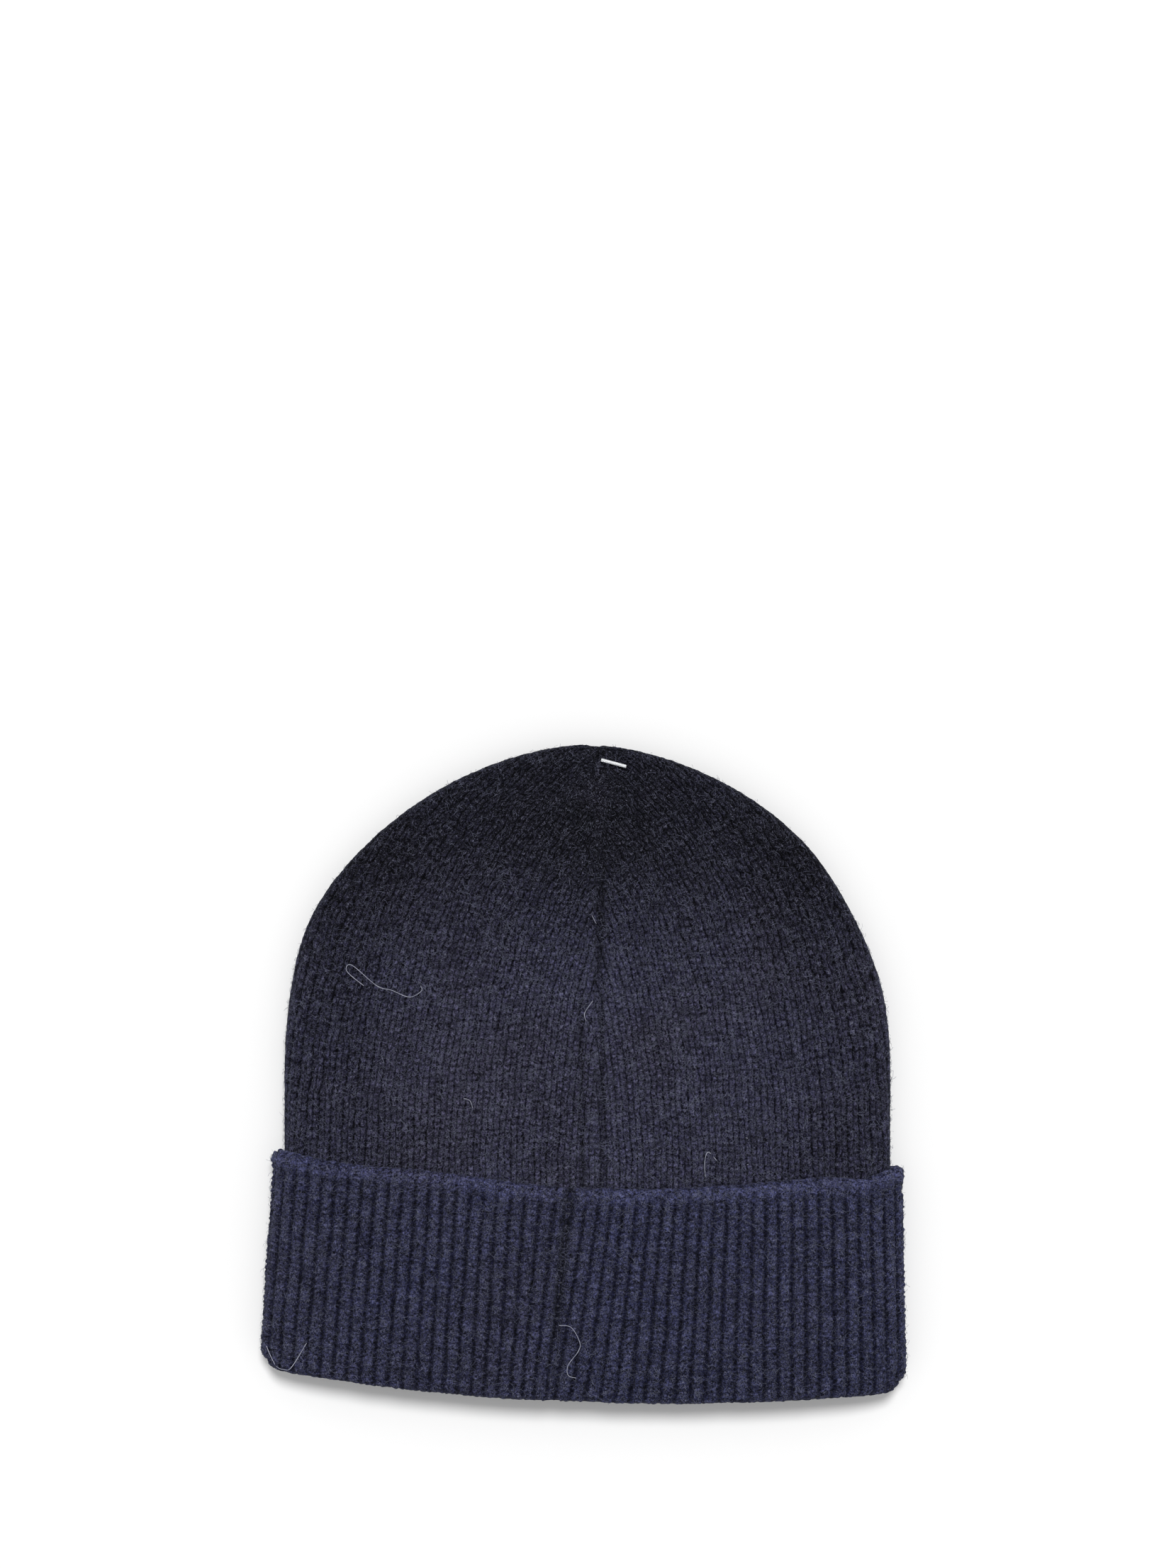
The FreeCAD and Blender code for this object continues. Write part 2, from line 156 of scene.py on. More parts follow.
def bent(y, u):
    """Y at u across the cuff of the bent row that crosses the middle at y."""
    t = along_cuff(y)
    sag = fold_sag + (hem_sag - fold_sag) * t
    return y + sag * u * u + (fold_skew + (hem_skew - fold_skew) * t) * u


def hem_wave(u):
    """How far the soft hem wanders from its even curve."""
    return 2.2 * hill(u + 0.5, 0.25) - 2.4 * hill(u - 0.88, 0.09)


def cuff_half(y):
    return hem_half_width + cuff_flare * (1 - along_cuff(y))


def cuff_centre(y):
    return cuff_fold_centre_x + (cuff_hem_centre_x - cuff_fold_centre_x) * along_cuff(y)


def body_half(y):
    inside = cuff_half(y) - body_depth
    return inside + (body_half_width - inside) * smooth(along_cuff(y))


def body_centre(y):
    centre = cuff_centre(y) + (body_centre_x - cuff_centre(y)) * smooth(along_cuff(y))
    dome = np.clip((y - wall_top_y) / dome_height, 0, 1)
    return centre - crown_lean * np.sin(pi * dome) ** 6


def out_share(x, y, depth):
    """0 at the middle and 1 at the outline of the layer that is that deep in the body."""
    share_x = np.abs(x - body_centre(y)) / (body_half(y) - depth)
    share_y = np.maximum(0, (y - wall_top_y) / (dome_height - depth))
    return (share_x**dome_power_x + share_y**dome_power_y) ** (1 / dome_power_x)


def drop_lift(past_hem):
    return body_depth * (1 - smooth(past_hem / drop_length))


def layer_z(share, raised, depth, upper):
    """Height of a layer of the body, from its share of the way out to the fold."""
    share = np.minimum(1, share)
    if upper:
        return fold_z + (upper_height - depth) * np.sqrt(1 - share**upper_power)
    return fold_z - (fold_z - raised - depth) * np.sqrt(1 - share**lower_power)


def dome_outline(side, t):
    """The dome's outline from the side, at 0, to the seam, at 1."""
    share = abs(seam_x - body_centre_x) / body_half_width
    corner = pi / 2 - np.arcsin(share ** (dome_power_x / 2))
    last = corner if (seam_x - body_centre_x) * side > 0 else pi - corner
    angle = t * last
    across = np.sign(np.cos(angle)) * np.abs(np.cos(angle)) ** (2 / dome_power_x)
    y = wall_top_y + dome_height * np.sin(angle) ** (2 / dome_power_y)
    return body_centre(y) + side * body_half_width * across, y


def outer_end(side, low_y, t):
    """Where a row meets the outline: t is 0 just above the cuff and 1 at the seam."""
    wall, dome = wall_top_y - low_y, pi / 2 * np.sqrt(body_half_width * dome_height)
    travel = t * (wall + dome)
    if travel >= wall:
        return dome_outline(side, (travel - wall) / dome)
    y = low_y + travel
    return body_centre(y) + side * body_half(y), y


def share_inside(line, depth):
    """How far along the line it leaves the layer that is that deep."""
    low, high = 0.0, 1.0
    for _ in range(30):
        reach = (low + high) / 2
        if out_share(*line(reach), depth) < 1:
            low = reach
        else:
            high = reach
    return low


def body_row(side, t, s, depth, upper):
    """Points of a row of the body. Below 0, t is how far down inside the cuff it is, in mm."""
    y = drop_end_y + min(t, 0)
    half = body_half(y) - depth
    centre = body_centre(y)
    x = seam_x + (centre + side * half - seam_x) * s
    u = (x - centre) / half
    if t <= 0:
        return x, bent(y, u), layer_z(np.abs(u), drop_lift(y - hem_y), depth, upper)
    half = body_half(y)
    low_x, low_y = centre + side * half, bent(y, side)
    seam_low_y = bent(y, (seam_x - centre) / half)
    seam_y = seam_low_y + t * (crown_y - crown_inset - seam_low_y)
    end_x, end_y = outer_end(side, low_y, t)

    def line(s):
        x0 = seam_x + (low_x - seam_x) * s
        bow = bent(y, (x0 - centre) / half) - (seam_low_y + (low_y - seam_low_y) * s)
        return seam_x + (end_x - seam_x) * s, seam_y + (end_y - seam_y) * s + bow * (1 - t) ** 2

    if depth > 0:
        s = s * share_inside(line, depth)
    x, y = line(s)
    z = layer_z(out_share(x, y, depth), 0, depth, upper)
    if depth == 0:
        z = np.where(s >= 1, fold_z, z)
    return x, y, z


# --- how the wales and rows run --------------------------------------------------------------------
def wale_lean(h):
    """Tangent of the wales' lean to the seam at h, 0 at the hem and 1 at the crown."""
    return np.tan(np.radians(20 * h + 25 * h**3))


h_table = np.geomspace(0.002, 1.2, 4000)
shift_table = np.concatenate([[0], np.cumsum(wale_lean(h_table)[1:] * np.diff(h_table))]) * lean_height
row_steps = np.diff(h_table) / (0.8 * wale_lean(0.5 * (h_table[1:] + h_table[:-1])))
travel_table = np.concatenate([[0], np.cumsum(row_steps)]) * lean_height


def body_pattern(d, y):
    """Wale and row numbers at a distance d from the seam, counted along the surface."""
    h = np.maximum((y - hem_y) / lean_height, h_table[0])
    wale = (d + np.interp(h, h_table, shift_table)) / wale_pitch
    start = np.interp(np.interp(h, h_table, travel_table) - d, travel_table, h_table)
    start = np.where(np.interp(h, h_table, travel_table) < d, h * np.exp(-0.28 * d / lean_height), start)
    row = np.where(y > hem_y, hem_y + start * lean_height, y) / row_pitch
    uneven = 1 + 1.2 * smooth((y - 10) / 60)
    wale = wale + uneven * (0.2 * soft_noise(d, y, 9, 11) + 0.14 * soft_noise(d, y, 2.2, 12))
    row = row + uneven * (0.3 * soft_noise(d, y, 11, 13) + 0.18 * soft_noise(d, y, 2.2, 14))
    return wale, row


# --- the shape of a stitch -------------------------------------------------------------------------
def stitch_height(across, row, reach):
    """Height from 0 to 1 of V-shaped stitches, whose legs end at reach; across is 0 at the middle."""
    up = row - 0.9 * np.abs(across)
    leg = np.sin(pi * (up - np.floor(up))) ** 0.6
    return leg * (1 - smooth((np.abs(across) - reach) / 0.2)) * (1 - 0.25 * hill(across, 0.06))


def body_knit(d, y, out):
    """Relief in mm of the body's knit, and the same from 0 to 1 as painted shade, dark in the gaps between
    stitches and on the sunken wales.
    """
    wale, row = body_pattern(d, y)
    across = wale - np.floor(wale) - 0.5
    crest = stitch_height(across, row + 0.5 * per_stitch(wale, 0 * row, 5), 0.28)
    second = np.cos(pi * wale)
    depth = rib_shade * (0.35 + 0.65 * smooth((out - 0.55) / 0.4))
    relief = stitch_relief * (1 + 0.4 * per_stitch(wale, row, 6)) * crest
    relief = relief - depth * 0.5 * (1 + second)
    # painted shade: darker in the gaps between stitches and on the sunken wales
    shade = crest * (1 + 0.2 * per_stitch(wale, row, 8)) - 0.19 * depth / rib_shade * (1 + second)
    flat = 1 - 0.8 * smooth((out - 0.965) / 0.035)
    return flat * (relief + grain * soft_noise(d, y, 0.75, 7)), np.clip(shade, 0, 1), wale, row


def cuff_knit(x, y, run):
    """The same for the cuff's wide rib; run is the length along the cuff from its hem."""
    past = x - cuff_seam(y)
    beside = np.where(past > 0, 1 - past / lean_reach, 0.15 + 0.6 * hill(past, 12))
    shift = rib_lean * np.clip(beside, 0, 1) * (y - lean_start_y) / lean_span
    rib = (x - shift + rib_start) / rib_pitch + 0.05 * soft_noise(x, y, 14, 21)
    row = run / cuff_row_pitch + 0.18 * soft_noise(x, y, 12, 22) + 0.08 * soft_noise(x, y, 3, 23)
    jag = 0.045 * np.sin(2 * pi * row) + 0.05 * soft_noise(x, y, 1.6, 29)
    across = rib + jag - np.floor(rib + jag) - 0.5
    in_groove = hill(0.5 - np.abs(across), 0.16)
    crest = stitch_height(across / 0.86, row + 0.4 * per_stitch(rib, 0 * row, 24), 0.30)
    purl = hill(np.sin(pi * (row + 0.5 * per_stitch(rib + 0.5, 0 * row, 27))), 0.5)
    knit = smooth((run - welt_height * 0.6) / (welt_height * 0.6))
    knit = knit * (1 - 0.9 * smooth((run - groove_end) / 6))
    relief = 0.5 * (1 + 0.3 * per_stitch(rib, row, 25)) * crest * (1 - in_groove)
    relief = relief * (1 - 0.85 * smooth((run - stitch_end) / 6))
    relief = relief - knit * rib_relief * in_groove * (1 - 0.4 * purl)
    # painted shade: darker in the grooves between the ribs and in the gaps between stitches
    shade = (0.3 + 0.7 * crest) * (1 - in_groove * knit * (0.74 - 0.5 * purl))
    shade = shade * (1 + 0.3 * per_stitch(rib, row, 28))
    # less painted shade on the smooth welt by the hem
    shade = shade + 0.35 * (1 - smooth(run / welt_height)) * (1 - crest)
    return relief + grain * soft_noise(x, y, 0.75, 26), np.clip(shade, 0, 1), rib * 2, row


def cuff_seam(y):
    """X of the cuff's seam, which wanders to the left on its way down."""
    down = np.clip((hem_y - y) / cuff_height, 0, 1)
    return -4.0 - 6.0 * down**0.6


# --- large soft shapes -----------------------------------------------------------------------------
def body_seam(y):
    """X of the back seam's groove."""
    wander = 0.5 * soft_noise(0 * y, y, 8, 33)
    return seam_x + wander + 1.9 * smooth((y - 20) / 30) * (1 - smooth((y - 104) / 8))


def seam_groove(x, y):
    """1 in the grooves along the back seam: one at the crown, two from the middle down."""
    upper_part = smooth((y - 22) / 14)
    wander = 0.4 * soft_noise(0 * y, y, 7, 34)
    twin = sum(0.85 * hill(x - line - wander, 1.1) for line in twin_lines)
    return hill(x - body_seam(y), 1.6) * upper_part + twin * (1 - upper_part)


def body_relief(x, y):
    """Folds and dents of the upper side, in mm: the seam, its ridge, and the sunken crown."""
    seam = -1.6 * seam_groove(x, y)
    ridge = 0.55 * hill(x - 11.0, 3.2) * (0.35 + 0.65 * hill(y - 36, 20)) * (1 - smooth((y - 60) / 20))
    beside = -0.7 * hill(x - seam_x, 9) * hill(y - 78, 26)
    share = out_share(x, y, 0)
    valley = -1.6 * hill(share - 0.80, 0.12) * smooth((y - 25) / 50)
    waves = 0.55 * soft_noise(x, y, 38, 31) + 0.25 * soft_noise(x, y, 17, 32)
    return seam + ridge + beside + valley + waves * (1 - smooth((share - 0.85) / 0.15))


def cuff_relief(x, y, run):
    """The same for the cuff: its seam, the notch in its hem, and the rolled hem."""
    seam = -2.0 * hill(x - cuff_seam(y), 1.8) * (1 - 0.85 * smooth((run - seam_end) / 9))
    notch = -1.2 * hill(x - cuff_seam(y) - 0.5, 1.6) * hill(run - 5.5, 3.0)
    roll = 0.55 * hill(run - 2.2, 2.4) - 0.35 * hill(run - 6.5, 1.8)
    waves = 0.45 * soft_noise(x, y, 34, 41) + 0.2 * soft_noise(x, y, 12, 42)
    return seam + notch + roll + waves


# --- making meshes ---------------------------------------------------------------------------------
def make_object(name, points, faces, sizes=None, uv=None, shade=None):
    """A mesh object from points in mm, and quads or faces of the given sizes."""
    mesh = bpy.data.meshes.new(name)
    points = np.asarray(points, float).reshape(-1, 3) * MM
    faces = np.asarray(faces, np.int32).ravel()
    sizes = np.full(len(faces) // 4, 4) if sizes is None else np.asarray(sizes)
    mesh.vertices.add(len(points))
    mesh.vertices.foreach_set("co", points.astype(np.float32).ravel())
    mesh.loops.add(len(faces))
    mesh.loops.foreach_set("vertex_index", faces)
    mesh.polygons.add(len(sizes))
    starts = np.concatenate([[0], np.cumsum(sizes)[:-1]]).astype(np.int32)
    mesh.polygons.foreach_set("loop_start", starts)
    mesh.polygons.foreach_set("loop_total", sizes.astype(np.int32))
    mesh.update(calc_edges=True)
    mesh.validate()
    mesh.polygons.foreach_set("use_smooth", np.ones(len(mesh.polygons), bool))
    if uv is not None:
        layer = mesh.uv_layers.new(name="knit")
        layer.data.foreach_set("uv", uv.reshape(-1, 2)[faces].astype(np.float32).ravel())
    if shade is not None:
        values = shade.ravel().astype(np.float32)
        mesh.attributes.new("relief", "FLOAT", "POINT").data.foreach_set("value", values)
    made = bpy.data.objects.new(name, mesh)
    bpy.context.scene.collection.objects.link(made)
    return made


def loop_faces(rows, columns, flip):
    """Quads of a grid that is closed along its columns, and one face for each end."""
    i, j = np.meshgrid(np.arange(rows - 1), np.arange(columns), indexing="ij")
    a, b = i * columns + j, i * columns + (j + 1) % columns
    quads = np.stack([a, b, b + columns, a + columns], -1).reshape(-1, 4)
    first, last = np.arange(columns)[::-1], np.arange(columns) + (rows - 1) * columns
    if flip:
        quads, first, last = quads[:, ::-1], first[::-1], last[::-1]
    sizes = np.concatenate([np.full(len(quads), 4), [columns, columns]])
    return np.concatenate([quads.ravel(), first, last]), sizes


def normals_of(points):
    """Unit normals of an open grid of points, by its rows and columns."""
    along = np.gradient(points, axis=0)
    across = np.gradient(points, axis=1)
    return unit(np.cross(across, along))


def even_shares(count, drop, power, middle_share=None):
    """Shares of the way to the fold, evenly spaced along the layer's curve.

    With a middle share, the points lie closer near the fold, and sparser by that share elsewhere.
    """
    mean_half_width, rim = 104, 14
    s = np.sin(np.linspace(0, pi / 2, 4000))
    z = drop * np.sqrt(1 - s**power)
    length = np.concatenate([[0], np.cumsum(np.hypot(np.diff(s) * mean_half_width, np.diff(z)))])
    if middle_share:
        rim_start = length[-1] - rim
        sparse = length * middle_share + (1 - middle_share) * rim_start
        length = np.where(length > rim_start, length, sparse)
        length = length - length[0]
    return np.interp(np.linspace(0, length[-1], count), length, s)


# --- the body's panels -----------------------------------------------------------------------------
hidden_depths = np.array([drop_end_y - body_low_y, 60, 45, 32, 24, 20])  # of the rows inside the cuff
drop_ts = np.linspace(-18, 0, 40, endpoint=False)
row_ts = np.concatenate([-hidden_depths, drop_ts, np.linspace(0, 1, fine_rows)])


def seam_distance(outer, side):
    """Length along the surface from the seam to each point of a panel's outer face."""
    step = np.diff(outer[..., [0, 2]], axis=1, prepend=outer[:, :1, [0, 2]])
    d = np.cumsum(np.linalg.norm(step, axis=2), axis=1)
    level = np.repeat(fold_distance(side)[:, None], outer.shape[1], 1)
    return d * level / np.maximum(d[:, -1:], 1e-6)


def panel_normals(outer, side, upper):
    """Unit normals of a panel's outer face, which point straight out at the fold."""
    normal = normals_of(outer) * (side if upper else -side)
    edge = np.stack([np.gradient(outer[:, -1, 1]), -np.gradient(outer[:, -1, 0]), 0 * outer[:, -1, 0]], -1)
    normal[:, -1] = unit(edge) * side
    return normal


def panel(name, side, upper):
    """A quarter of the body, as a closed mesh."""
    count = upper_columns if upper else lower_columns
    drop, power = (upper_height, upper_power) if upper else (fold_z, lower_power)
    outer_s = even_shares(count, drop, power, None if upper else 0.22)
    inner_s = np.linspace(0, 1, inner_columns)
    outer = np.array([np.stack(body_row(side, t, outer_s, 0, upper), -1) for t in row_ts])
    inner = np.array([np.stack(body_row(side, t, inner_s, ply, upper), -1) for t in row_ts])[:, ::-1]
    x, y = outer[..., 0], outer[..., 1]
    relief, shade, wale, row = body_knit(seam_distance(outer, side), y, out_share(x, y, 0))
    normal = panel_normals(outer, side, upper)
    folds = body_relief(x, y) - 0.25 if upper else -stitch_relief
    shown = smooth((row_ts + 20) / 4)[:, None]
    outer = outer + normal * (relief * shown + folds * shown)[..., None]
    outer[..., 2] = np.maximum(outer[..., 2], table_clearance)
    points = np.concatenate([outer, inner], axis=1)
    flat_uv = np.zeros(points.shape[:2] + (2,))
    flat_uv[:, :count, 0], flat_uv[:, :count, 1] = wale, row
    flat_uv[:, count:, 0] = inner[..., 0] / wale_pitch
    flat_uv[:, count:, 1] = inner[..., 1] / row_pitch
    shades = np.full(points.shape[:2], 0.6)
    shades[:, :count] = shade
    faces, sizes = loop_faces(len(row_ts), points.shape[1], (side > 0) != upper)
    made = make_object(name, points, faces, sizes, flat_uv, shades)
    return made, outer, normal, shade


def fold_distance(side):
    """Length along the upper surface from the seam to the fold, for each row."""
    s = even_shares(200, upper_height, upper_power)
    lengths = []
    for t in row_ts:
        x, _, z = body_row(side, t, s, 0, True)
        lengths.append(np.hypot(np.diff(x), np.diff(z)).sum())
    return np.array(lengths)


# --- the cuff --------------------------------------------------------------------------------------
def cuff_profile():
    """Depth and y round the cuff's section, from the hem; and how much of each point shows."""
    low, hem, turns = fold_y + fold_bend, hem_y - ply / 2, np.linspace(0, pi, 14)
    face_y = np.linspace(hem, low, cuff_face_rows)
    bend = np.linspace(0, pi, 24)
    inside = 2 * ply + gap
    parts = [
        (0 * face_y, face_y, 1),
        (fold_bend * (1 - np.cos(bend[1:])), low - fold_bend * np.sin(bend[1:]), 1),
        (np.array([inside, ply + gap]), np.array([body_low_y, body_low_y]), 0),
        (fold_bend - gap / 2 * np.cos(bend[::-6]), low - gap / 2 * np.sin(bend[::-6]), 0),
        (ply / 2 * (1 + np.cos(turns[:-1])), hem + ply / 2 * np.sin(turns[:-1]), 1),
    ]
    depth = np.concatenate([part[0] for part in parts])
    y = np.concatenate([part[1] for part in parts])
    shown = np.concatenate([np.full(len(part[0]), part[2]) for part in parts])
    return depth, y, shown


def round_corner(x, y, edge_x, edge_y, radius):
    """Moves points near a square corner at (edge_x, edge_y) onto a round one."""
    middle_y = (fold_y + hem_y) / 2
    inward_x, inward_y = np.sign(cuff_hem_centre_x - edge_x), np.sign(middle_y - edge_y)
    a = np.maximum(radius - (x - edge_x) * inward_x, 0)
    b = np.maximum(radius - (y - edge_y) * inward_y, 0)
    scale = np.where((a > 0) & (b > 0), np.maximum(a, b) / np.maximum(np.hypot(a, b), 1e-6), 1)
    return x + (1 - scale) * a * inward_x, y + (1 - scale) * b * inward_y


def cuff_grid(depth, y, u, curve, drop, upper):
    """The cuff's points before its knit is raised: columns across the hat, and rows round its section."""
    x = cuff_centre(y) + (cuff_half(y) - depth) * u
    z = fold_z + (drop - depth) * curve * (1 if upper else -1)
    y_bent = bent(y + 0 * u, u) + hem_wave(u) * smooth(along_cuff(y)) * (1 if upper else 0)
    for side in (-1, 1):
        for edge_y, radius in ((fold_y, fold_corner), (hem_y, hem_corner)):
            edge_x = cuff_centre(edge_y) + side * cuff_half(edge_y)
            x, y_bent = round_corner(x, y_bent, edge_x, bent(edge_y, side), radius)
    return np.stack([x, y_bent, z], -1)


def cuff_normals(points, upper):
    """Unit normals of the cuff's points, which point straight out at the side folds."""
    along = np.roll(points, -1, axis=1) - np.roll(points, 1, axis=1)
    across = np.gradient(points, axis=0)
    across[0], across[-1] = (0, 0, 1 if upper else -1), (0, 0, -1 if upper else 1)
    return unit(np.cross(across, along) * (-1 if upper else 1))


def cuff_side(name, upper):
    """The back or the front of the cuff, as a closed mesh."""
    mean_half_width = 109
    depth, y, shown = cuff_profile()
    drop, power = (thickness - fold_z, upper_power) if upper else (fold_z, lower_power)
    half_shares = even_shares(cuff_columns, drop, power)
    u = np.concatenate([-half_shares[:0:-1], half_shares])[:, None]
    curve = np.sqrt(1 - np.abs(u) ** power)
    points = cuff_grid(depth, y, u, curve, drop, upper)
    normal = cuff_normals(points, upper)
    step_x = np.diff(u[:, 0], prepend=-1) * mean_half_width
    length = np.cumsum(np.hypot(step_x, np.diff(curve[:, 0] * drop, prepend=0)))
    d = (length - length[len(length) // 2])[:, None] + 0 * y
    run = np.cumsum(np.hypot(np.diff(depth, prepend=0), np.diff(y, prepend=y[0])))
    run[-1] = 0  # the last row is back at the hem
    run = run + 0 * u
    relief, shade, wale, row = cuff_knit(d, points[..., 1], run)
    amount = relief + (cuff_relief(points[..., 0], points[..., 1], run) if upper else -0.6)
    points = points + normal * (amount * shown)[..., None]
    points[..., 2] = np.maximum(points[..., 2], table_clearance)
    faces, sizes = loop_faces(len(u), len(y), upper)
    shades = np.where(shown > 0, shade, 0.5)
    made = make_object(name, points, faces, sizes, np.stack([wale, row], -1), shades)
    return made, points[:, :cuff_face_rows], normal[:, :cuff_face_rows], shade[:, :cuff_face_rows]


# --- small soft pieces -----------------------------------------------------------------------------
def node_mesh(node):
    """A CAD node's corners in mm, in the row frame, and its faces."""
    cad = frame["nodes"][node]
    corners = [cad.matrix_world @ v.co / MM for v in cad.data.vertices]
    return np.array([tuple(c) for c in corners]), [tuple(p.vertices) for p in cad.data.polygons]


def islands(node):
    """The separate lumps of a CAD node, each as its corners."""
    corners, faces = node_mesh(node)
    _, group = np.unique(np.round(corners, 3), axis=0, return_inverse=True)
    group = group.ravel()
    edges = np.array([(face[i - 1], face[i]) for face in faces for i in range(len(face))])
    label = np.arange(group.max() + 1)
    ends = group[edges]
    while (label[ends[:, 0]] != label[ends[:, 1]]).any():
        low = label[ends].min(axis=1)
        for column in (0, 1):
            np.minimum.at(label, label[ends[:, column]], low)
        label = label[label]
    return [corners[label[group] == lump] for lump in np.unique(label)]


def twisted(centre, axis, length, radius):
    """Points of a short two-ply thread with round ends, ring by ring."""
    axis = unit(axis)
    side = unit(np.cross(axis, (0, 0, 1) if abs(axis[2]) < 0.9 else (1, 0, 0)))
    up = np.cross(axis, side)
    angle = np.linspace(0, 2 * pi, 12, endpoint=False)
    along = np.linspace(-1, 1, 25)
    points = []
    for t in along:
        twist = angle + t * length * 2.2
        r = radius * (0.78 + 0.22 * np.abs(np.cos(twist))) * (1 - abs(t) ** 8) ** 0.5
        ring = np.outer(r * np.cos(angle), side) + np.outer(r * np.sin(angle), up)
        points.append(ring + centre + axis * t * length / 2)
    return np.array(points)


def thread(name, node, radius=0.35):
    """Every stitch of a CAD node, as twisted thread in the same place."""
    points, faces, sizes, start = [], [], [], 0
    for lump in islands(node):
        centre = (lump.min(axis=0) + lump.max(axis=0)) / 2
        _, _, axes = np.linalg.svd(lump - lump.mean(axis=0), full_matrices=False)
        length = np.ptp((lump - centre) @ axes[0])
        rings = twisted(centre, axes[0], length, radius)
        more, more_sizes = loop_faces(len(rings), 12, False)
        points.append(rings.reshape(-1, 3))
        faces.append(more + start)
        sizes.append(more_sizes)
        start += len(points[-1])
    return make_object(name, np.concatenate(points), np.concatenate(faces), np.concatenate(sizes))


def soft_copy(name, node, voxel, relief):
    """A CAD node's shape as an even fine mesh, moved along its normals by relief(x, y, z) in mm."""
    corners, faces = node_mesh(node)
    mesh = bpy.data.meshes.new(name)
    mesh.from_pydata([tuple(c * MM) for c in corners], [], faces)
    made = bpy.data.objects.new(name, mesh)
    bpy.context.scene.collection.objects.link(made)
    remesh = made.modifiers.new("even", "REMESH")
    remesh.mode, remesh.voxel_size = "VOXEL", voxel * MM
    soft = made.modifiers.new("soft", "SMOOTH")
    soft.iterations = 3
    depsgraph = bpy.context.evaluated_depsgraph_get()
    even = bpy.data.meshes.new_from_object(made.evaluated_get(depsgraph))
    made.modifiers.clear()
    made.data = even
    places, normals = np.zeros((2, len(even.vertices) * 3), np.float32)
    even.vertices.foreach_get("co", places)
    even.vertex_normals.foreach_get("vector", normals)
    x, y, z = places.reshape(-1, 3).T / MM
    moved = places.reshape(-1, 3) + normals.reshape(-1, 3) * relief(x, y, z)[:, None] * MM
    even.vertices.foreach_set("co", moved.ravel())
    even.polygons.foreach_set("use_smooth", np.ones(len(even.polygons), bool))
    return made


def label_hinge():
    """The middle of the care label's sewn edge, in mm."""
    joint = next(j for j in frame["record"]["behaviour"]["joints"] if j["name"] == "label_flip")
    return np.array(joint["pos_m"]) / MM


def ribbon_profile(length):
    """Points round the section of a ribbon folded once: how far from the hinge, and how high."""
    reach = np.linspace(0, 1, 60)
    spread = ribbon_pinch + (ribbon_fold - ribbon_pinch) * smooth(6 * reach)
    turn = np.linspace(0, pi, 14)[1:-1]
    straight = label_clearance + (length - ribbon_fold) * reach
    along = np.concatenate([straight, straight[-1] + ribbon_fold * np.sin(turn), straight[::-1]])
    above = np.concatenate([spread, ribbon_fold * np.cos(turn), -spread[::-1]])
    out = unit(np.stack([-np.gradient(above), np.gradient(along)], 1)) * ribbon_thickness / 2
    middle = np.stack([along, above], 1)
    return np.concatenate([middle + out, (middle - out)[::-1]])


def folded_ribbon(name, hinge, length, width, droop):
    """A ribbon that hangs to the left of the hinge with its fold at the free end, as a closed mesh."""
    profile = ribbon_profile(length)
    y = np.linspace(-width / 2, width / 2, 73)[:, None]
    u, v = profile[:, 0] + 0 * y, profile[:, 1] + 0 * y
    v = v + ribbon_wave * np.sin(u / 4.0) * np.sin(y / 6.0)
    x = hinge[0] - u * cos(droop) - v * sin(droop)
    z = hinge[2] - u * sin(droop) + v * cos(droop)
    points = np.stack([x, hinge[1] + y + 0 * u, z], -1)
    count, rows = len(profile), len(y)
    here = np.arange(count) + (np.arange(rows - 1) * count)[:, None]
    after = np.roll(here, -1, axis=1)
    sides = np.stack([here, after, after + count, here + count], -1).reshape(-1, 4)
    i = np.arange(count // 2 - 1)
    near = np.stack([i, count - 1 - i, count - 2 - i, i + 1], 1)
    far = near[:, ::-1] + (rows - 1) * count
    return make_object(name, points, np.concatenate([sides, near, far]))


# --- loose fibres ----------------------------------------------------------------------------------
def ribbon(paths, width):
    """Points and quads of narrow flat ribbons along many paths of equal counts of points."""
    step = np.gradient(paths, axis=1)
    side = unit(np.cross(step, (0, 0, 1.0))) * width / 2
    left, right = paths - side, paths + side
    count, length = paths.shape[:2]
    points = np.stack([left, right], 2).reshape(-1, 3)
    base = (np.arange(count) * length * 2)[:, None] + (np.arange(length - 1) * 2)[None]
    faces = np.stack([base, base + 1, base + 3, base + 2], -1).reshape(-1, 4)
    return points, faces


fibre_length, fibre_rise, fibre_width = (0.6, 2.3), (0.1, 0.55), (0.045, 0.085)


def fibre_roots(rng, grids, per_grid):
    """Where the fibres start and which way is out, most of them where a grid's weight is high."""
    starts, ups = [], []
    for (points, normal, weight), count in zip(grids, per_grid):
        flat_points, flat_normal = points.reshape(-1, 3), normal.reshape(-1, 3)
        cells = np.cross(np.gradient(points, axis=0), np.gradient(points, axis=1))
        area = np.linalg.norm(cells, axis=2) * weight
        chosen = rng.choice(area.size, count, p=area.ravel() / area.sum())
        starts.append(flat_points[chosen])
        ups.append(flat_normal[chosen])
    return np.concatenate(starts), np.concatenate(ups)


def fuzz(name, grids, per_grid, seed):
    """Short fibres that stand off the knit."""
    rng = np.random.default_rng(seed)
    start, up = fibre_roots(rng, grids, per_grid)
    count = len(start)
    heading = rng.normal(size=(count, 3))
    heading = heading - up * (heading * up).sum(axis=1, keepdims=True) * 0.7
    heading = unit(heading)
    turn = np.cross(heading, up) * rng.normal(0, 0.5, (count, 1))
    length = rng.uniform(*fibre_length, (count, 1))
    rise = rng.uniform(*fibre_rise, (count, 1))
    paths = [start + heading * length * t + turn * length * t * t + up * rise * 4 * t * (1.1 - t)
             for t in (0, 0.5, 1.0)]
    paths = np.stack(paths, 1)
    paths[..., 2] = np.maximum(paths[..., 2], 0.05)
    points, faces = ribbon(paths, rng.uniform(*fibre_width, (count, 1, 1)))
    return make_object(name, points, faces)


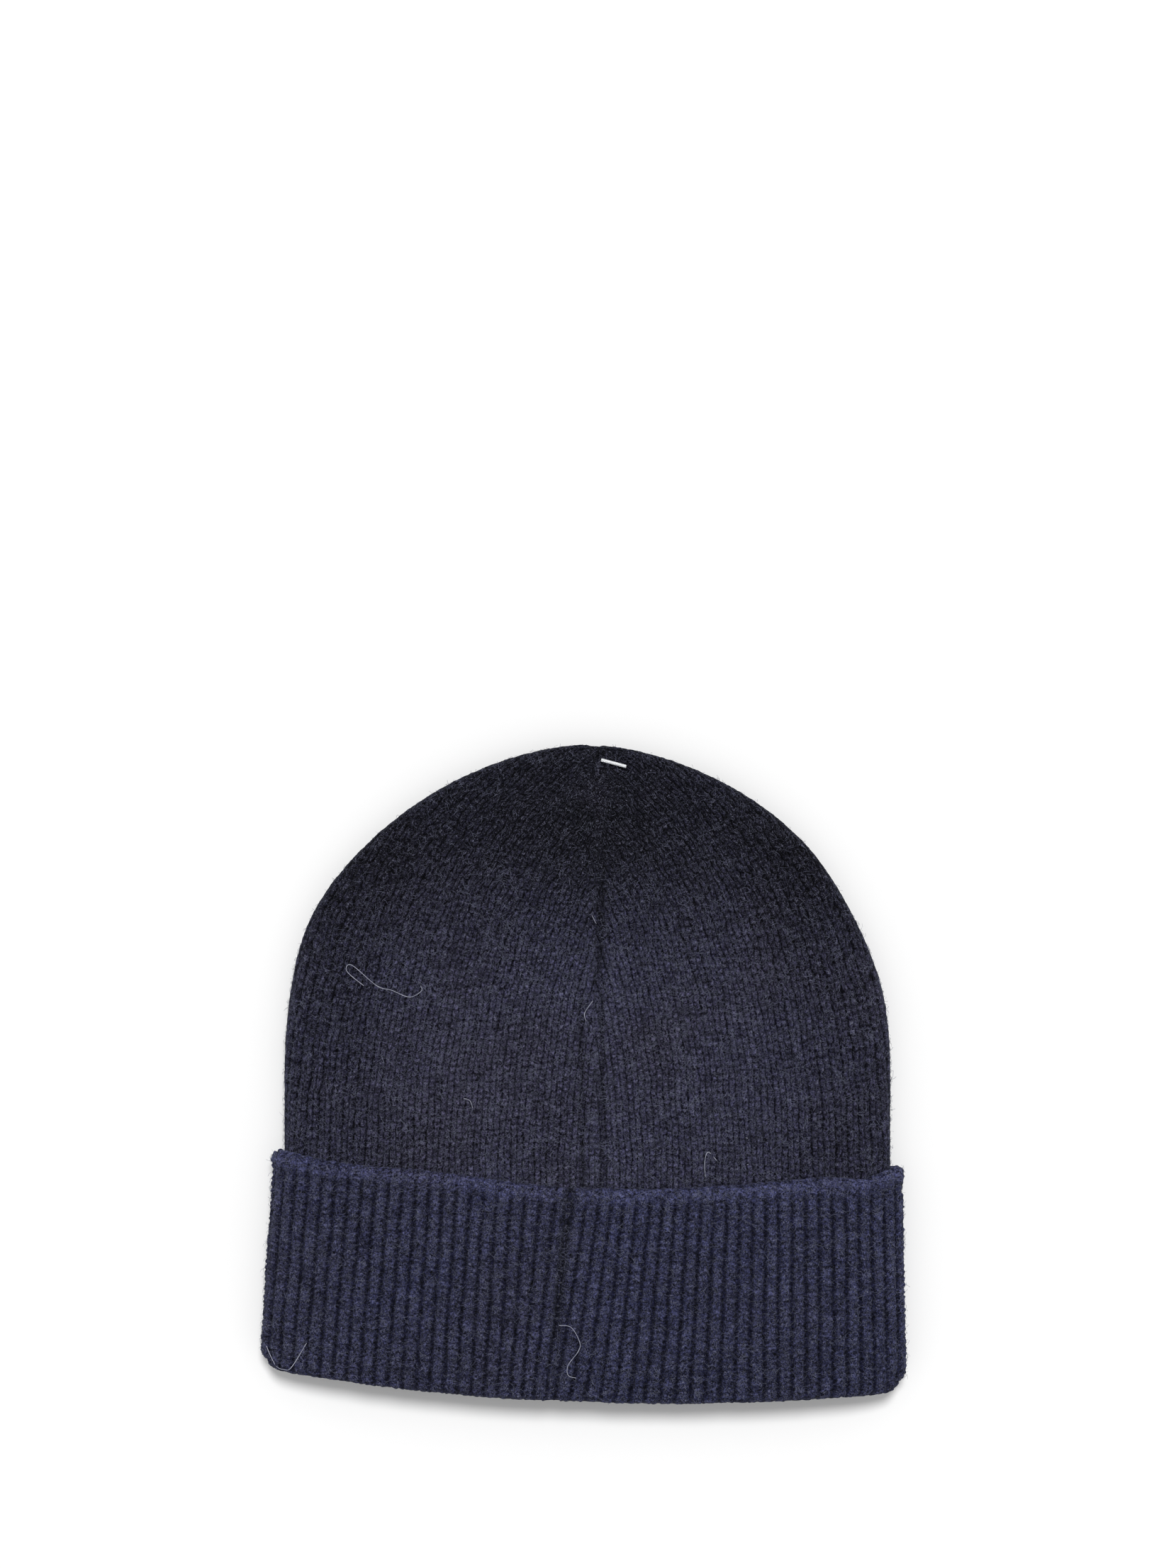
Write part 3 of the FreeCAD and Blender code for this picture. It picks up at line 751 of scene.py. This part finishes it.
def smooth_path(corners, count):
    """A Catmull-Rom curve through a few corners, as count points."""
    corners = np.array([corners[0], *corners, corners[-1]], float)
    made = []
    for t in np.linspace(0, len(corners) - 3 - 1e-6, count):
        i, f = int(t), t - int(t)
        a, b, c, d = corners[i : i + 4]
        made.append(b + 0.5 * f * (c - a + f * (2 * a - 5 * b + 4 * c - d + f * (3 * (b - c) + d - a))))
    return np.array(made)


def top_z(x, y):
    """Height of the hat's upper side at x, y."""
    u = (x - cuff_centre(y)) / cuff_half(y)
    if y < bent(hem_y, u):
        return fold_z + (thickness - fold_z) * np.sqrt(max(0, 1 - abs(u) ** upper_power))
    return layer_z(out_share(x, y, 0), drop_lift(y - bent(hem_y, u)), 0, True)


def lint(name, hairs, width):
    """Loose pale hairs that lie on the knit, each through a few points seen from above."""
    points, faces, start = [], [], 0
    for number, corners in enumerate(hairs):
        path = smooth_path(corners, 40)
        lift = 0.85 + 0.35 * np.sin(np.linspace(0, 9, 40) + number)
        z = np.array([top_z(x, y) for x, y in path]) + lift
        spine = np.column_stack([path, z])[None]
        more, more_faces = ribbon(spine, width)
        points.append(more)
        faces.append(more_faces + start)
        start += len(more)
    return make_object(name, np.concatenate(points), np.concatenate(faces))


# --- materials -------------------------------------------------------------------------------------
def new_material(name, roughness, sheen, specular):
    """A new material, its node tree and its main shader."""
    made = bpy.data.materials.new(name)
    made.use_nodes = True
    shader = made.node_tree.nodes["Principled BSDF"]
    shader.inputs["Roughness"].default_value = roughness
    shader.inputs["Sheen Weight"].default_value = sheen
    shader.inputs["Sheen Roughness"].default_value = 0.45
    shader.inputs["Specular IOR Level"].default_value = specular
    return made, made.node_tree, shader


def node(tree, kind, inputs=None, **settings):
    """A new node, with its settings and its inputs: values, or sockets to link."""
    made = tree.nodes.new("ShaderNode" + kind)
    for key, value in settings.items():
        setattr(made, key, value)
    for key, value in (inputs or {}).items():
        if isinstance(value, bpy.types.NodeSocket):
            tree.links.new(value, made.inputs[key])
        else:
            made.inputs[key].default_value = value
    return made


def ramp(tree, value, stops):
    """A colour ramp over value, with stops of (position, colour)."""
    made = node(tree, "ValToRGB", {"Fac": value})
    elements = made.color_ramp.elements
    while len(elements) < len(stops):
        elements.new(0.5)
    for element, (position, colour) in zip(elements, stops):
        element.position = position
        element.color = (*colour, 1)
    return made.outputs["Color"]


def uneven(tree, place, amount):
    """The amount, varied by noise: each scale with its factors at the dark and the light end."""
    layers = ((850.0, 0.0, 2.1), (1700.0, 0.0, 2.15), (420.0, 0.6, 1.4), (42.0, 0.88, 1.12))
    for scale, low, high in layers:
        noise = node(tree, "TexNoise", {"Vector": place, "Scale": scale, "Detail": 3.0, "Roughness": 0.65})
        spread = node(tree, "MapRange", {"Value": noise.outputs["Fac"], "From Min": 0.3, "From Max": 0.7,
                                         "To Min": low, "To Max": high})
        amount = node(tree, "Math", {0: amount, 1: spread.outputs[0]}, operation="MULTIPLY").outputs[0]
    return amount


def pale_flecks(tree, place, painted_shading, relief):
    """How much a pale fibre shows, from 0: less where painted shade darkens the knit, and least in the
    painted shade of its gaps.
    """
    specks = node(tree, "TexNoise", {"Vector": place, "Scale": 1300.0, "Detail": 2.0, "Distortion": 2.0})
    fleck = node(tree, "MapRange", {"Value": specks.outputs["Fac"], "From Min": 0.54, "From Max": 0.70,
                                    "To Min": 0.0, "To Max": 0.85})
    for value, least in ((painted_shading, 0.85), (relief, 0.2)):
        share = node(tree, "MapRange", {"Value": value, "To Min": least, "To Max": 1.0})
        fleck = node(tree, "Math", {0: fleck.outputs[0], 1: share.outputs[0]}, operation="MULTIPLY")
    return fleck.outputs[0]


def wool(name, gap_shade, mid, pale):
    """Wool-blend yarn: mid on the stitches, with pale fibres; painted shade makes it dark in the gaps
    between stitches.
    """
    made, tree, shader = new_material(name, 0.92, 0.06, 0.08)
    shader.inputs["Sheen Tint"].default_value = (0.62, 0.68, 0.9, 1)
    place = node(tree, "TexCoord").outputs["Object"]
    relief = node(tree, "Attribute", attribute_name="relief").outputs["Fac"]
    painted_shading = node(tree, "Attribute", attribute_name="painted_shading").outputs["Fac"]
    half = tuple(0.47 * a + 0.53 * b for a, b in zip(gap_shade, mid))
    # painted shade: from the gap colour in the gaps to the yarn's colour on the stitches
    yarn = ramp(tree, relief, [(0.0, gap_shade), (0.45, half), (1.0, mid)])
    # scaled by the painted light and shade stored at the corners, varied by noise
    toned = node(tree, "VectorMath", {0: yarn, "Scale": uneven(tree, place, painted_shading)}, operation="SCALE")
    patches = node(tree, "TexNoise", {"Vector": place, "Scale": 24.0, "Detail": 2.0})
    hue = ramp(tree, patches.outputs["Fac"], [(0.35, (1.04, 1.0, 0.95)), (0.6, (0.98, 1.0, 1.04))])
    toned = node(tree, "VectorMath", {0: toned.outputs["Vector"], 1: hue}, operation="MULTIPLY")
    fleck = pale_flecks(tree, place, painted_shading, relief)
    colour = node(tree, "Mix", {"Factor": fleck, "A": toned.outputs["Vector"], "B": (*pale, 1)},
                  data_type="RGBA")
    tree.links.new(colour.outputs["Result"], shader.inputs["Base Color"])
    fibre = node(tree, "TexNoise", {"Vector": place, "Scale": 2200.0, "Detail": 3.0, "Distortion": 2.0})
    bump = node(tree, "Bump", {"Height": fibre.outputs["Fac"], "Strength": 0.55, "Distance": 0.00035})
    tree.links.new(bump.outputs["Normal"], shader.inputs["Normal"])
    return made


def fibre_material():
    made, tree, shader = new_material("loose_fibre", 0.8, 0.2, 0.2)
    place = node(tree, "TexCoord").outputs["Object"]
    noise = node(tree, "TexNoise", {"Vector": place, "Scale": 260.0, "Detail": 1.0})
    colour = ramp(tree, noise.outputs["Fac"], [(0.3, (0.014, 0.015, 0.03)), (0.7, (0.11, 0.118, 0.17))])
    tree.links.new(colour, shader.inputs["Base Color"])
    return made


def lint_material():
    made, tree, shader = new_material("lint", 0.7, 0.2, 0.3)
    place = node(tree, "TexCoord").outputs["Object"]
    noise = node(tree, "TexNoise", {"Vector": place, "Scale": 300.0})
    colour = ramp(tree, noise.outputs["Fac"], [(0.3, (0.17, 0.18, 0.24)), (0.7, (0.34, 0.35, 0.42))])
    tree.links.new(colour, shader.inputs["Base Color"])
    return made


def thread_material():
    made, tree, shader = new_material("sewing_thread", 0.6, 0.3, 0.3)
    place = node(tree, "TexCoord").outputs["Object"]
    noise = node(tree, "TexNoise", {"Vector": place, "Scale": 3000.0, "Detail": 2.0})
    colour = ramp(tree, noise.outputs["Fac"], [(0.3, (0.010, 0.011, 0.022)), (0.7, (0.030, 0.032, 0.055))])
    bump = node(tree, "Bump", {"Height": noise.outputs["Fac"], "Strength": 0.4, "Distance": 0.0001})
    tree.links.new(colour, shader.inputs["Base Color"])
    tree.links.new(bump.outputs["Normal"], shader.inputs["Normal"])
    return made


def satin_material():
    """White woven satin, with its fine threads across."""
    made, tree, shader = new_material("satin", 0.38, 0.25, 0.5)
    place = node(tree, "TexCoord").outputs["Object"]
    weft = node(tree, "TexWave", {"Vector": place, "Scale": 1300.0, "Distortion": 0.6}, bands_direction="Y")
    warp = node(tree, "TexWave", {"Vector": place, "Scale": 900.0, "Distortion": 0.6}, bands_direction="X")
    weave = node(tree, "Math", {0: weft.outputs["Fac"], 1: warp.outputs["Fac"]}, operation="MULTIPLY")
    colour = ramp(tree, weave.outputs[0], [(0.0, (0.60, 0.60, 0.58)), (1.0, (0.80, 0.80, 0.78))])
    bump = node(tree, "Bump", {"Height": weave.outputs[0], "Strength": 0.3, "Distance": 0.0001})
    tree.links.new(colour, shader.inputs["Base Color"])
    tree.links.new(bump.outputs["Normal"], shader.inputs["Normal"])
    return made


def plastic_material():
    """Clear moulded polypropylene, faintly milky and uneven."""
    made, tree, shader = new_material("clear_plastic", 0.22, 0.0, 0.5)
    shader.inputs["Transmission Weight"].default_value = 0.45
    shader.inputs["IOR"].default_value = 1.49
    place = node(tree, "TexCoord").outputs["Object"]
    noise = node(tree, "TexNoise", {"Vector": place, "Scale": 700.0, "Detail": 2.0})
    colour = ramp(tree, noise.outputs["Fac"], [(0.3, (0.78, 0.80, 0.84)), (0.7, (0.93, 0.94, 0.95))])
    gloss = node(tree, "MapRange", {"Value": noise.outputs["Fac"], "To Min": 0.15, "To Max": 0.35})
    tree.links.new(colour, shader.inputs["Base Color"])
    tree.links.new(gloss.outputs[0], shader.inputs["Roughness"])
    return made


def floor_material():
    made, tree, shader = new_material("floor", 0.85, 0.0, 0.2)
    place = node(tree, "TexCoord").outputs["Object"]
    noise = node(tree, "TexNoise", {"Vector": place, "Scale": 3.0, "Detail": 2.0})
    colour = ramp(tree, noise.outputs["Fac"], [(0.2, (0.835, 0.835, 0.835)), (0.8, (0.85, 0.85, 0.85))])
    tree.links.new(colour, shader.inputs["Base Color"])
    return made


def dress(piece, material, slot, *replaced):
    """Gives a piece its material and hides the CAD nodes it stands for."""
    piece.data.materials.clear()
    piece.data.materials.append(material)
    if replaced:
        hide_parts(*replaced)


def set_painted_shading(piece, painted_shading):
    """Stores the painted light and shade at each corner, from its x, y and z in mm."""
    count = len(piece.data.vertices)
    places = np.zeros(count * 3, np.float32)
    piece.data.vertices.foreach_get("co", places)
    x, y, z = (places.reshape(-1, 3) / MM).T
    values = painted_shading(x, y, z).astype(np.float32)
    piece.data.attributes.new("painted_shading", "FLOAT", "POINT").data.foreach_set("value", values)


side_hollow_shades = ((-83, 27, 1.0, 1.6, 0.26), (78, 45, 1.2, 2.2, 0.12))  # x, y, stretch in each, and depth of the painted shade


def body_painted_shading(x, y, z):
    """Painted shade and light: darker towards the crown, beside the seam near it, in two hollows at the
    sides, towards the sides, low down and in the seam's grooves; lighter along the ridges beside the seam's
    lower part.
    """
    painted_shading = 1.02 - 0.1 * smooth(-y / 30) - 0.73 * smooth((y - 22) / 62)
    painted_shading = painted_shading - 0.16 * hill(x - seam_x, 26) * hill(y - 82, 22)
    for at_x, at_y, stretch_x, stretch_y, depth in side_hollow_shades:
        painted_shading = painted_shading - depth * hill(np.hypot((x - at_x) / stretch_x, (y - at_y) / stretch_y), 16)
    # painted light along the ridges beside the seam
    painted_ridge_light = 0.16 * hill(x - 2.9, 1.8) + 0.26 * hill(x - 11.2, 3.0)
    painted_shading = painted_shading + painted_ridge_light * (1 - smooth((y - 30) / 30))
    painted_shading = painted_shading - 0.16 * smooth((np.abs(x - body_centre_x) - 45) / 40)
    # painted shade in the seam's grooves
    painted_shading = painted_shading * (1 - 0.58 * np.minimum(1, seam_groove(x, y)) * (z > fold_z))
    return np.clip(painted_shading, 0.16, 1.2)


def cuff_painted_shading(x, y, z):
    """Painted light and shade: lighter on the rolled hem, darker towards the bottom and in the seam's
    groove.
    """
    u = (x - cuff_hem_centre_x) / hem_half_width
    below = bent(hem_y, u) + hem_wave(u) - y
    groove = hill(x - cuff_seam(y), 1.9) * (z > fold_z) * (1.2 - 0.7 * smooth((below - 25) / 40))
    painted_shading = 1 + 0.45 * hill(below - 2.2, 2.9) - 0.12 * smooth((below - 45) / 30)
    return painted_shading * (1 - 0.6 * groove)


# --- building --------------------------------------------------------------------------------------
# For each yarn: the painted shade of the gaps between stitches, the yarn's colour, and its pale fibres.
body_wool = wool("body_wool", (0.0004, 0.0004, 0.0024), (0.0282, 0.0270, 0.0515), (0.16, 0.164, 0.225))
cuff_wool = wool("cuff_wool", (0.0010, 0.0011, 0.0055), (0.0188, 0.0200, 0.0440), (0.13, 0.135, 0.195))
thread_look = thread_material()

first_seen_row = 12  # of a panel, the rows before it are inside the cuff
grids = []
for label, side, upper in (("back_right_panel", 1, True), ("back_left_panel", -1, True),
                           ("front_right_panel", 1, False), ("front_left_panel", -1, False)):
    piece, points, normal, shade = panel("knit_" + label, side, upper)
    dress(piece, body_wool, "body_knit", label)
    set_painted_shading(piece, body_painted_shading)
    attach(piece, "hat")
    if upper:
        weight = shade * body_painted_shading(*np.moveaxis(points, 2, 0))
        seen = slice(first_seen_row, None)
        grids.append((points[seen], normal[seen], weight[seen]))

for label, upper in (("cuff_back", True), ("cuff_front", False)):
    piece, points, normal, shade = cuff_side("knit_" + label, upper)
    dress(piece, cuff_wool, "cuff_knit", label)
    set_painted_shading(piece, cuff_painted_shading)
    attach(piece, "hat")
    if upper:
        grids.append((points, normal, shade**2))

fibres_each = 16000, 16000, 11000  # on the body's right and left, and on the cuff
hairs = fuzz("wool_fuzz", grids, fibres_each, 5)
dress(hairs, fibre_material(), "body_knit")
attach(hairs, "hat")

hairs_from_above = [
    [(-74.4, 29.5), (-80.2, 34.4), (-78.5, 36.5), (-70, 29.5),
     (-65, 28), (-58.9, 25.7), (-54.8, 27.8), (-55.1, 29.5)],
    [(3.3, 24.4), (0.6, 20.3), (1.1, 17.4)],
    [(3.0, 53.5), (4.5, 50.6)],
    [(-40.5, -8.7), (-38.2, -9.6), (-37.4, -12.6)],
    [(41.5, -35.3), (41.3, -30.0), (42.5, -26.9), (45.4, -29.8)],
    [(55.3, -22.0), (55.9, -22.2)],
    [(55.6, -31.2), (56.1, -31.0)],
    [(-8.1, -85.2), (-4.0, -85.9), (-1.1, -91.0), (-1.6, -94.1),
     (-5.0, -98.7), (-5.0, -102.1), (-2.3, -103.1)],
    [(-108.8, -91.5), (-104.7, -99.5), (-101.5, -100.9), (-98.9, -99.9), (-93.8, -91.7)],
]
pale_hairs = lint("pale_lint", hairs_from_above, 0.19)
dress(pale_hairs, lint_material(), "body_knit")
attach(pale_hairs, "hat")

for label in ("back_seam_stitches", "left_dart_stitches", "right_dart_stitches", "front_dart_stitches",
              "cuff_seam_stitches", "care_label_stitches"):
    piece = thread("thread_" + label, label)
    dress(piece, thread_look, "seam_thread", label)
    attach(piece, "hat")

allowance = soft_copy("knit_allowance", "back_seam_allowance", 0.5,
                      lambda x, y, z: 0.22 * np.sin(2 * pi * x / 2.0) * np.sin(pi * y / 2.0) - 0.25)
dress(allowance, body_wool, "body_knit", "back_seam_allowance")
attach(allowance, "hat")

knot = soft_copy("yarn_knot", "crown_knot", 0.2,
                 lambda x, y, z: 0.2 * np.sin(4.2 * (x + 0.8 * y + 1.3 * z)) - 0.2)
dress(knot, body_wool, "seam_thread", "crown_knot")
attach(knot, "hat")

tack = soft_copy("thread_tack", "cuff_tack", 0.15, lambda x, y, z: 0.1 * np.sin(7 * (x + z)) - 0.1)
dress(tack, thread_look, "seam_thread", "cuff_tack")
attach(tack, "hat")

care_label = folded_ribbon("satin_label", label_hinge(), label_length, label_width, radians(label_droop))
dress(care_label, satin_material(), "label_satin", "care_label")
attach(care_label, "label")

for piece in (allowance, knot):
    # even painted light and shade, and an even painted gap shade, for these two
    set_painted_shading(piece, lambda x, y, z: 0 * x + 0.8)
    shades = np.full(len(piece.data.vertices), 0.7, np.float32)
    piece.data.attributes.new("relief", "FLOAT", "POINT").data.foreach_set("value", shades)

plastic = plastic_material()
for label in ("tag_pin_bar", "tag_pin_filament", "tag_pin_paddle"):
    cad = frame["nodes"][label]
    cad.data.materials.clear()
    cad.data.materials.append(plastic)

# --- floor, light and camera -----------------------------------------------------------------------
far = 4e4  # half the floor's width, in mm
floor = make_object("floor", [(-far, -far, 0), (far, -far, 0), (far, far, 0), (-far, far, 0)], [0, 1, 2, 3])
floor.data.materials.append(floor_material())

# The sky is soft overhead and brighter near the horizon, so that the floor stays white far away.
world = bpy.data.worlds.new("studio")
world.use_nodes = True
direction = node(world.node_tree, "TexCoord").outputs["Generated"]
upward = node(world.node_tree, "SeparateXYZ", {"Vector": direction}).outputs["Z"]
brightness = node(world.node_tree, "MapRange", {"Value": upward, "From Min": 0.08, "From Max": 0.3,
                                                "To Min": 1.0, "To Max": 0.58})
world.node_tree.links.new(brightness.outputs[0], world.node_tree.nodes["Background"].inputs["Strength"])
world.node_tree.nodes["Background"].inputs["Color"].default_value = (1, 1, 1, 1)
bpy.context.scene.world = world

key = bpy.data.lights.new("key", "SUN")
key.energy, key.angle = 2.25, radians(16)
sun = bpy.data.objects.new("key", key)
sun.rotation_euler = (radians(-24), radians(3), 0)
bpy.context.scene.collection.objects.link(sun)

camera = bpy.data.cameras.new("camera")
camera.lens, camera.sensor_width = 85.0, 36.0
eye = bpy.data.objects.new("camera", camera)
eye.location = (0.0017, 0.098, 1.274)
bpy.context.scene.collection.objects.link(eye)
bpy.context.scene.camera = eye
bpy.context.scene.view_settings.view_transform = "Standard"
